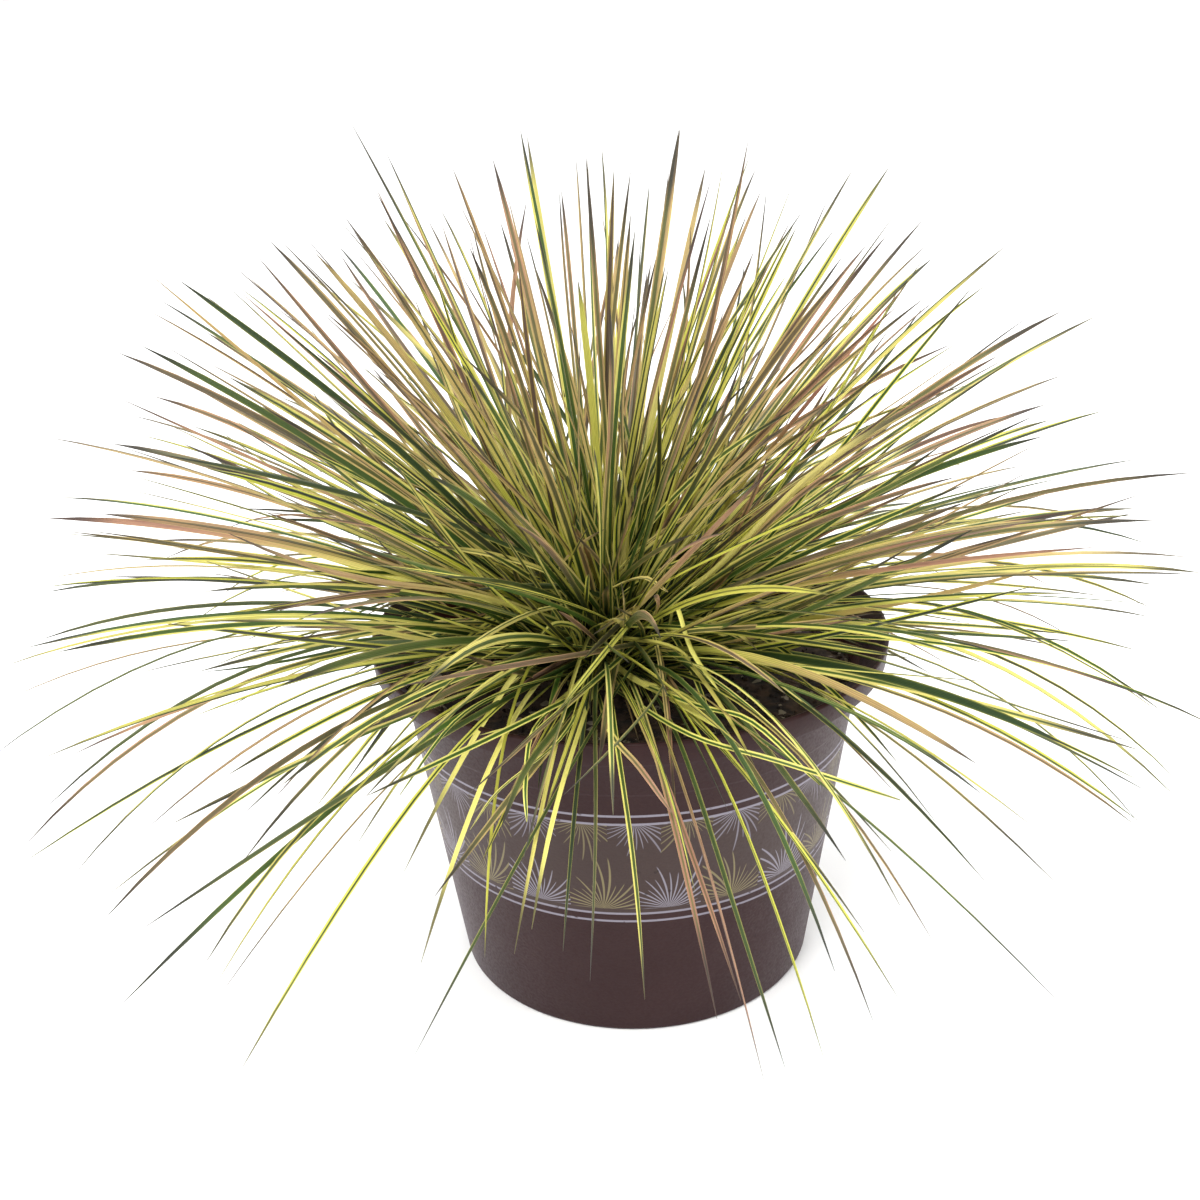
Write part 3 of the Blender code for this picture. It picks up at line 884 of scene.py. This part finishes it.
seenEnds = {
    # group: reach from the crown's middle and which side of it the end lies on, or the height
    # that a low leaf ends at, then the ends
    "upperLeft": ({"reach": 0.205}, [
        (350, 121), (392, 164), (366, 230), (229, 262), (258, 257), (299, 257), (348, 246), (352, 270),
        (151, 275), (201, 292), (331, 320), (279, 344), (250, 357), (382, 368), (176, 376), (212, 377),
        (247, 376), (289, 373), (228, 417), (284, 409), (128, 431), (146, 457), (69, 461), (220, 447),
        (120, 488), (284, 457), (279, 471)]),
    "top": ({"reach": 0.200}, [
        (449, 214), (467, 225), (472, 226), (497, 222), (509, 236), (518, 259), (525, 230), (529, 205),
        (557, 171), (578, 180), (586, 157), (614, 170), (571, 214), (617, 187), (609, 216), (635, 230),
        (662, 184), (676, 187), (683, 178), (700, 172), (715, 220), (748, 141), (727, 212), (746, 279),
        (791, 220), (794, 224), (432, 274), (441, 272), (396, 345), (610, 304)]),
    "upperRight": ({"reach": 0.205}, [
        (829, 196), (837, 255), (842, 261), (929, 226), (896, 271), (938, 288), (897, 306), (863, 318),
        (871, 343), (889, 352), (843, 379), (1035, 312), (1022, 354), (927, 398), (964, 415),
        (901, 431), (1036, 415), (1044, 419), (995, 448), (1038, 455), (1055, 468), (1018, 463),
        (1079, 484), (966, 502), (1049, 501), (1096, 508), (1134, 513)]),
    "left": ({"level": 0.118}, [
        (84, 525), (90, 531), (151, 569), (228, 533), (267, 595), (181, 613), (236, 645), (289, 647),
        (26, 694), (55, 701), (211, 667), (218, 714), (8, 774), (159, 752), (185, 773), (217, 794),
        (343, 787)]),
    "right": ({"level": 0.118}, [
        (1161, 605), (1097, 547), (1130, 564), (1048, 609), (1140, 651), (1077, 650), (994, 627),
        (1028, 607), (1145, 746), (1138, 780), (1150, 793), (958, 670), (1022, 696), (911, 723)]),
    "lowLeft": ({"level": 0.112}, [
        (122, 1004), (213, 1005), (241, 1070), (356, 846), (404, 872), (421, 963)]),
    "front": ({"level": 0.124}, [
        (379, 829), (482, 862), (506, 801), (530, 830), (675, 817), (678, 839), (768, 854)]),
    "frontLong": ({"level": 0.106}, [
        (563, 951), (590, 981), (717, 1019), (741, 1001), (753, 928), (798, 928), (765, 1085),
        (785, 1068)]),
    "lowRight": ({"level": 0.112}, [
        (850, 980), (864, 932), (900, 1001), (891, 851), (938, 825), (937, 943), (984, 880),
        (1073, 1017), (1057, 884), (1036, 829)]),
}
seenLooks = {
    # ends whose leaf has a finish of its own: kind, blush
    (122, 1004): (0.05, 0.1), (1161, 605): (0.05, 0.05), (1073, 1017): (0.08, 0.15), (350, 121): (0.12, 0.35),
    (213, 1005): (0.3, 0.8), (356, 846): (0.97, 0.0), (421, 963): (0.95, 0.0), (900, 1001): (0.8, 0.0),
    (765, 1085): (0.5, 1.0), (785, 1068): (0.1, 0.1), (1145, 746): (0.12, 0.3), (717, 1019): (0.6, 1.0),
    (741, 1001): (0.6, 1.0), (675, 817): (0.6, 1.0), (748, 141): (0.3, 0.9), (241, 1070): (0.7, 0.1),
}


def endAtReach(seen, reach, near=True):
    # where the sight through a place of the frame meets a sphere round the crown
    eye = Vector(cameraSet["place"])
    sight = sightTo(*seen)
    closest = (crownMiddle - eye).dot(sight)
    gap = (eye + sight * closest - crownMiddle).length
    inward = math.sqrt(max(reach * reach - gap * gap, 0.0))
    return eye + sight * (closest - inward if near else closest + inward)


def endAtLevel(seen, level):
    eye = Vector(cameraSet["place"])
    sight = sightTo(*seen)
    end = eye + sight * ((level - eye.z) / sight.z) if sight.z < 0 else crownMiddle + sight
    if (end - crownMiddle).length > tussock["longestReach"]:
        end = endAtReach(seen, tussock["longestReach"])
    return end


def insideBox(end):
    margin = tussock["boxMargin"]
    for axis in range(3):
        end[axis] = min(max(end[axis], cadLow[axis] - margin), cadHigh[axis] + margin)
    end.z = max(end.z, tussock["floorClearance"])
    return end


def leadLeaves(plans, rng):
    leads = {plan["index"]: [] for plan in plans}
    own = [(tip - crownMiddle).normalized() for plan in plans for _, tip in plan["tips"]]
    play = tussock["levelPlay"]
    for where, ends in seenEnds.values():
        for seen in ends:
            if "level" in where:
                tip = insideBox(endAtLevel(seen, where["level"] + rng.uniform(-play, play)))
            else:
                reach = where["reach"] * rng.uniform(*tussock["reachPlay"])
                tip = insideBox(endAtReach(seen, reach, rng.random() < 0.5))
            aim = (tip - crownMiddle).normalized()
            # a tiller's own leaf that ends nearby already does for this one
            nearby = max(way.dot(aim) for way in own) > math.cos(tussock["nearbyEnd"])
            if nearby and seen not in seenLooks:
                continue
            nearest = max(plans, key=lambda plan: plan["aim"].dot(aim))
            leads[nearest["index"]].append((seen, tip, where))
    return leads


def addLead(chains, plan, seen, tip, where, rng):
    rootLean = plan["rootLean"]
    azimuth = plan["azimuth"] + rng.gauss(0, tussock["leadTurn"]) / max(0.3, math.sin(rootLean))
    start = crownPoint(azimuth, rootLean, -0.001)
    aim = (tip - start).normalized()
    outward = direction(azimuth, rootLean * tussock["headingLean"])
    heading = (outward * tussock["leadShare"] + aim).normalized()
    kind, blush = seenLooks.get(seen, (None, None))
    aside = around(heading, rng.uniform(0, math.tau)) * 0.5
    keel = direction(azimuth, rootLean) - Vector((0, 0, 0.7)) + aside
    half = tussock["halfWidth"] * rng.uniform(*tussock["lowWidth" if "level" in where else "leadWidth"])
    look = lookFor(tip, rng, kind, blush)
    addBlade(chains, start, heading, tip, keel, half, look, rng, sway=rng.uniform(0, tussock["sway"]))


def makeBladeTree():
    # chains of edges to folded, closed blades, and to round sheaths where isSheath is set
    inputs = (("Geometry", "Geometry", None), ("Fold Depth", "Float", 0.6), ("Thickness", "Float", 0.12),
              ("Profile Points", "Int", 8), ("Sheath Points", "Int", 12), ("Material", "Material", None))
    tree, given, result = startGroup("foldedBlades", "GeometryNodeTree", inputs, (("Geometry", "Geometry"),))
    tree.is_modifier = True

    def named(name, kind="FLOAT"):
        return addNode(tree, "GeometryNodeInputNamedAttribute", {"Name": name}, data_type=kind).outputs[0]

    def kept(geometry, name, value):
        inputs = {"Geometry": geometry, "Name": name}
        node = addNode(tree, "GeometryNodeStoreNamedAttribute", inputs, data_type="FLOAT", domain="POINT")
        tree.links.new(value, node.inputs["Value"])
        return node.outputs[0]

    def profile(points, folded):
        circle = {"Resolution": points, "Radius": 1.0}
        ring = addNode(tree, "GeometryNodeCurvePrimitiveCircle", circle).outputs["Curve"]
        position = addNode(tree, "GeometryNodeInputPosition").outputs[0]
        place = addNode(tree, "ShaderNodeSeparateXYZ", {0: position}).outputs
        index = addNode(tree, "GeometryNodeInputIndex").outputs[0]
        ring = kept(ring, "across", times(tree, place[0], -1.0))
        ring = kept(ring, "upper", times(tree, place[1], -1.0))
        ring = kept(ring, "around", calc(tree, "DIVIDE", index, points))
        if not folded:
            return ring
        apex = minus(tree, 0.45, calc(tree, "ABSOLUTE", place[0]))
        depth = scaled(tree, apex, given["Fold Depth"], times(tree, place[1], given["Thickness"]))
        moved = joined(tree, depth, times(tree, place[0], -1.0), 0.0)
        return addNode(tree, "GeometryNodeSetPosition", {"Geometry": ring, "Position": moved}).outputs[0]

    def swept(chains, points, folded):
        curve = addNode(tree, "GeometryNodeMeshToCurve", {"Mesh": chains}).outputs[0]
        facing = {"Curve": curve, "Normal": named("facing", "FLOAT_VECTOR")}
        curve = addNode(tree, "GeometryNodeSetCurveNormal", facing, mode="FREE").outputs[0]
        sweep = {"Curve": curve, "Profile Curve": profile(points, folded), "Fill Caps": True}
        sweep["Scale"] = named("halfWidth")
        return addNode(tree, "GeometryNodeCurveToMesh", sweep).outputs[0]

    isSheath = addNode(tree, "FunctionNodeCompare", {0: named("isSheath"), 1: 0.5}, operation="GREATER_THAN")
    selection = {"Geometry": given["Geometry"], "Selection": isSheath.outputs[0]}
    parts = addNode(tree, "GeometryNodeSeparateGeometry", selection, domain="POINT").outputs
    blades = swept(parts[1], given["Profile Points"], True)
    sheaths = swept(parts[0], given["Sheath Points"], False)
    both = addNode(tree, "GeometryNodeJoinGeometry")
    for geometry in (blades, sheaths):
        tree.links.new(geometry, both.inputs[0])
    endGroup(tree, addNode(tree, "GeometryNodeSetShadeSmooth", {"Geometry": both.outputs[0]}), given, result)
    return tree


bladeTree = makeBladeTree()


def layOutStrips(mesh, strips):
    # one upright strip of the map for each blade, unrolled round its profile
    corners = len(mesh.loops)
    vertexOf = np.empty(corners, np.int32)
    mesh.loops.foreach_get("vertex_index", vertexOf)
    values = {}
    for name in ("along", "around", "strip"):
        column = np.empty(len(mesh.vertices), np.float32)
        mesh.attributes[name].data.foreach_get("value", column)
        values[name] = column[vertexOf]
    starts = np.empty(len(mesh.polygons), np.int32)
    mesh.polygons.foreach_get("loop_start", starts)
    sizes = np.diff(np.append(starts, corners))
    turn = values["around"]
    highest = np.repeat(np.maximum.reduceat(turn, starts), sizes)
    lowest = np.repeat(np.minimum.reduceat(turn, starts), sizes)
    turn = np.where((highest - lowest > 0.5) & (turn < 0.5) & (np.repeat(sizes, sizes) == 4), turn + 1, turn)
    place = np.stack([(values["strip"] + 0.06 + 0.88 * turn) / strips, 0.01 + 0.98 * values["along"]], axis=1)
    layer = mesh.uv_layers.new(name="OFBake")
    layer.data.foreach_set("uv", place.astype(np.float32).ravel())


def grassPiece(name, chains):
    mesh = bpy.data.meshes.new(name)
    mesh.from_pydata([tuple(point) for point in chains["points"]], chains["edges"], [])
    for key in ("along", "halfWidth", "tint", "blush", "kind", "strip", "isSheath"):
        data = mesh.attributes.new(key, "FLOAT", "POINT")
        data.data.foreach_set("value", chains[key])
    facing = mesh.attributes.new("facing", "FLOAT_VECTOR", "POINT")
    facing.data.foreach_set("vector", [value for way in chains["facing"] for value in way])
    piece = bpy.data.objects.new(name, mesh)
    scene.collection.objects.link(piece)
    values = {"Fold Depth": bladeShape["foldDepth"], "Thickness": bladeShape["thickness"],
              "Profile Points": bladeShape["profilePoints"], "Sheath Points": bladeShape["sheathPoints"],
              "Material": leafMaterial}
    made = grown(piece, bladeTree, values)
    layOutStrips(made, int(max(chains["strip"])) + 1)
    made.set_sharp_from_angle(angle=math.radians(62))
    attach(piece, "root")
    return piece


def makeTussock():
    planRng = random.Random(tussock["seed"])
    plans = [tillerPlan(index, planRng) for index in range(tussock["tillers"])]
    rng = random.Random(tussock["fillerSeed"])
    leads = leadLeaves(plans, rng)
    faces = 0
    for plan in plans:
        chains = newChains()
        addSheath(chains, plan, rng)
        for angle, tip in plan["tips"]:
            start, heading, keelWay = leafBase(plan["root"], plan["heading"], angle)
            start = start - heading * tussock["sheathDepth"]
            width = tussock["highWidth" if plan["tipLean"] < tussock["lowLean"] else "lowWidth"]
            half = tussock["halfWidth"] * rng.uniform(*width)
            look = lookFor(tip, rng)
            twist, sway = rng.gauss(0, tussock["ownTwist"]), tussock["ownSway"]
            addBlade(chains, start, heading, tip, keelWay, half, look, rng, twist, sway, "elbow")
        addFillers(chains, plan, rng)
        for seen, tip, where in leads[plan["index"]]:
            addLead(chains, plan, seen, tip, where, rng)
        number = plan["index"] + 1
        piece = grassPiece(f"grass_tiller_{number:02d}", chains)
        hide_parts(f"tiller_{number:02d}")
        faces += len(piece.data.polygons)
    print("tussock made,", faces, "faces")


makeTussock()

# Crown: the dome of packed leaf bases, with short new shoots

crownSet = {
    "sides": 96, "rings": 22, "shoots": 90, "seed": 21,
    "shootLength": (0.03, 0.09), "shootWidth": (0.32, 0.6),
    # grooves round the dome, how deep, how far it swells unevenly, and how far it lies in the solid
    "grooves": 24, "groove": 0.0005, "swell": 0.0012, "sunk": 0.0007,
    "straw": tone(150, 138, 84), "green": tone(96, 112, 46), "dark": tone(40, 36, 20),
}


def makeCrownMaterial():
    material, tree, shader = startMaterial("crown_finish")
    place = addNode(tree, "ShaderNodeTexCoord").outputs["Object"]
    split = addNode(tree, "ShaderNodeSeparateXYZ", {0: place}).outputs
    turn = calc(tree, "ARCTAN2", split[1], plus(tree, split[0], -tussock["crownX"]))
    fibreWay = {"Across": times(tree, turn, 8.0), "Along": times(tree, split[2], 90.0), "Lines": 3.0}
    fibres = addNode(tree, "ShaderNodeGroup", fibreWay, node_tree=fibreGroup)
    lines, mottle = fibres.outputs["Lines"], fibres.outputs["Mottle"]
    colour = blend(tree, ramp(tree, mottle, 0.35, 0.65), crownSet["green"], crownSet["straw"])
    colour = blend(tree, ramp(tree, lines, 0.4, 0.0), colour, crownSet["dark"])
    dust = addNode(tree, "ShaderNodeGroup", {"Vector": place, "Amount": 0.8}, node_tree=dustGroup)
    colour = blend(tree, dust.outputs["Specks"], colour, crownSet["dark"])
    tree.links.new(colour, shader.inputs["Base Color"])
    tree.links.new(ramp(tree, mottle, 0.3, 0.7, 0.6, 0.85), shader.inputs["Roughness"])
    bumped(tree, shader, lines, 0.6, 0.0006)
    return material


def makeCrown():
    form = bmesh.new()
    loops = []
    for ring in range(crownSet["rings"]):
        lean = math.radians(90) * (1 - ring / crownSet["rings"])
        loop = []
        for i in range(crownSet["sides"]):
            azimuth = math.tau * i / crownSet["sides"]
            swell = noise.noise(Vector((math.cos(azimuth) * 3, math.sin(azimuth) * 3, lean * 2)))
            ridge = crownSet["groove"] * math.cos(azimuth * crownSet["grooves"]) + crownSet["swell"] * swell
            loop.append(form.verts.new(crownPoint(azimuth, lean, min(0.0, ridge - crownSet["sunk"]))))
        loops.append(loop)
    top = form.verts.new(crownPoint(0, 0, -0.0008))
    for vert in loops[0]:
        vert.co.z = soilSet["top"] + soilSet["gap"]
    skin(form, loops, top)
    crown = asObject("grass_crown", form)
    crown.data.materials.append(makeCrownMaterial())
    smooth(crown.data, 45)
    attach(crown, "root")
    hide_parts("crown")


# Cut, folded and curled leaves that lie over the middle, as places in the frame and reach from the crown

bentLeaves = [
    # knots, half width, kind, blush
    ([(583, 668, 0.03), (580, 632, 0.052), (556, 624, 0.066), (537, 640, 0.074)], 0.0010, 0.8, 0.0),
    ([(600, 640, 0.03), (598, 600, 0.055), (640, 578, 0.074), (668, 592, 0.088)], 0.0009, 0.75, 0.5),
    ([(668, 640, 0.05), (676, 605, 0.075), (692, 650, 0.085), (720, 692, 0.098)], 0.0009, 0.95, 0.0),
    ([(600, 652, 0.03), (632, 678, 0.062), (674, 700, 0.085), (722, 730, 0.110)], 0.0011, 0.93, 0.0),
    ([(605, 668, 0.03), (640, 682, 0.058), (676, 692, 0.080), (698, 704, 0.096)], 0.0009, 0.86, 0.0),
    ([(598, 660, 0.03), (572, 690, 0.061), (530, 720, 0.092), (480, 735, 0.118)], 0.0010, 0.97, 0.0),
    ([(590, 672, 0.03), (584, 690, 0.048), (578, 702, 0.062)], 0.0010, 0.5, 0.9),
]
# Leaves that arch out over the front of the rim, as places in the frame and heights
archedLeaves = [
    # knots, half width, kind, blush
    ([(606, 650, 0.140), (560, 646, 0.146), (478, 651, 0.150), (408, 672, 0.146)], 0.0010, 0.3, 0.0),
    ([(598, 694, 0.134), (612, 735, 0.146), (640, 768, 0.144), (672, 813, 0.136)], 0.0009, 0.6, 1.0),
    ([(575, 690, 0.134), (535, 728, 0.146), (526, 780, 0.146), (527, 822, 0.138)], 0.0008, 0.4, 0.0),
    ([(609, 671, 0.136), (695, 705, 0.147), (752, 722, 0.150), (820, 785, 0.142)], 0.0009, 0.5, 0.0),
    ([(580, 672, 0.136), (510, 690, 0.148), (455, 722, 0.152), (400, 795, 0.142)], 0.0009, 0.15, 0.0),
    ([(615, 690, 0.134), (690, 735, 0.147), (780, 762, 0.150), (900, 800, 0.138)], 0.0009, 0.55, 0.1),
    ([(590, 690, 0.134), (560, 740, 0.146), (500, 790, 0.148), (470, 830, 0.136)], 0.0008, 0.3, 0.2),
]


def smoothPath(knots, count):
    # an even curve through the knots
    padded = [knots[0] * 2 - knots[1]] + knots + [knots[-1] * 2 - knots[-2]]
    points = []
    for i in range(count + 1):
        place = i / count * (len(knots) - 1)
        k = min(int(place), len(knots) - 2)
        t = place - k
        a, b, c, d = padded[k:k + 4]
        curve = (c - a) * t + (a * 2 - b * 5 + c * 4 - d) * t**2 + (b * 3 - a - c * 3 + d) * t**3
        points.append(b + curve * 0.5)
    return points


def makeShoots():
    rng = random.Random(crownSet["seed"])
    chains = newChains()
    for i in range(crownSet["shoots"]):
        lean = math.acos(1 - (i + 0.5) / crownSet["shoots"] * 0.93)
        azimuth = i * tussock["goldenAngle"] + rng.uniform(-0.2, 0.2)
        start = crownPoint(azimuth, lean, -tussock["rootDepth"])
        aside = around(direction(azimuth, lean), rng.uniform(0, math.tau)) * 0.4
        aim = (direction(azimuth, lean * 1.1) + aside).normalized()
        tip = start + aim * rng.uniform(*crownSet["shootLength"])
        tip.z = max(tip.z, soilSet["top"] + 0.006)
        keel = direction(azimuth, lean) + around(aim, rng.uniform(0, math.tau)) * 0.5
        look = {"tint": rng.random(), "blush": max(0.0, rng.gauss(0.0, 0.25)), "kind": rng.random()}
        half = tussock["halfWidth"] * rng.uniform(*crownSet["shootWidth"])
        addBlade(chains, start, aim, tip, keel, half, look, rng)
    for knots, half, kind, blush in bentLeaves + archedLeaves:
        placed = endAtReach if knots[0][2] < soilSet["top"] else endAtLevel
        ends = [insideBox(placed(knot[:2], knot[2])) for knot in knots]
        points = smoothPath(ends, tussock["rings"])
        first = (points[1] - points[0]).normalized()
        away = Vector((0.2, 0.4, -1))
        facings = facingsAlong(points, (away - first * away.dot(first)).normalized(), 0.4)
        widths = [widthAt(0.06 + 0.92 * i / tussock["rings"], half) for i in range(len(points))]
        addChain(chains, points, facings, widths, {"tint": 0.6, "blush": blush, "kind": kind}, 0.1, 0.9)
    shoots = grassPiece("crown_shoots", chains)


makeCrown()
makeShoots()
print("crown made")

# Floor, lights and camera

studioSet = {
    "floorHalf": 40.0,
    "floorTone": tone(252, 252, 252), "worldTone": (1.0, 1.0, 1.0, 1.0), "worldStrength": 1.0,
    "sun": {"turn": (math.radians(32), math.radians(-14), 0.0), "spread": math.radians(18), "strength": 1.65},
    "key": {"place": (-0.55, -0.95, 1.65), "size": 0.6, "power": 13.0},
    "fill": {"place": (1.25, -0.75, 0.95), "size": 1.3, "power": 7.0},
    "back": {"place": (0.25, 1.15, 1.35), "size": 1.2, "power": 12.0},
}


def makeStudio():
    form = bmesh.new()
    bmesh.ops.create_grid(form, x_segments=2, y_segments=2, size=studioSet["floorHalf"])
    floor = asObject("studio_floor", form)
    material, tree, shader = startMaterial("floor_finish")
    place = addNode(tree, "ShaderNodeTexCoord").outputs["Object"]
    colour = blend(tree, grain(tree, place, 3.0), studioSet["floorTone"], tone(250, 250, 250))
    tree.links.new(colour, shader.inputs["Base Color"])
    shader.inputs["Roughness"].default_value = 0.8
    floor.data.materials.append(material)
    for name in ("key", "fill", "back"):
        values = studioSet[name]
        lamp = bpy.data.lights.new(name + "_light", "AREA")
        lamp.shape = "DISK"
        lamp.size = values["size"]
        lamp.energy = values["power"]
        light = bpy.data.objects.new(name + "_light", lamp)
        light.location = values["place"]
        light.rotation_euler = (crownMiddle - Vector(values["place"])).to_track_quat("-Z", "Y").to_euler()
        scene.collection.objects.link(light)
    lamp = bpy.data.lights.new("soft_sun", "SUN")
    lamp.energy = studioSet["sun"]["strength"]
    lamp.angle = studioSet["sun"]["spread"]
    sun = bpy.data.objects.new("soft_sun", lamp)
    sun.rotation_euler = studioSet["sun"]["turn"]
    scene.collection.objects.link(sun)
    world = scene.world or bpy.data.worlds.new("studio")
    scene.world = world
    world.use_nodes = True
    backdrop = world.node_tree.nodes["Background"]
    backdrop.inputs["Color"].default_value = studioSet["worldTone"]
    backdrop.inputs["Strength"].default_value = studioSet["worldStrength"]
    scene.view_settings.view_transform = "Standard"


def makeCamera():
    right, up, ahead = cameraAxes()
    lens = bpy.data.cameras.new("photo_camera")
    lens.lens = cameraSet["lens"]
    lens.sensor_width = cameraSet["sensor"]
    camera = bpy.data.objects.new("photo_camera", lens)
    turned = Matrix((right, up, -ahead)).transposed().to_4x4()
    camera.matrix_world = Matrix.Translation(cameraSet["place"]) @ turned
    scene.collection.objects.link(camera)
    scene.camera = camera


makeStudio()
makeCamera()
print("studio made")
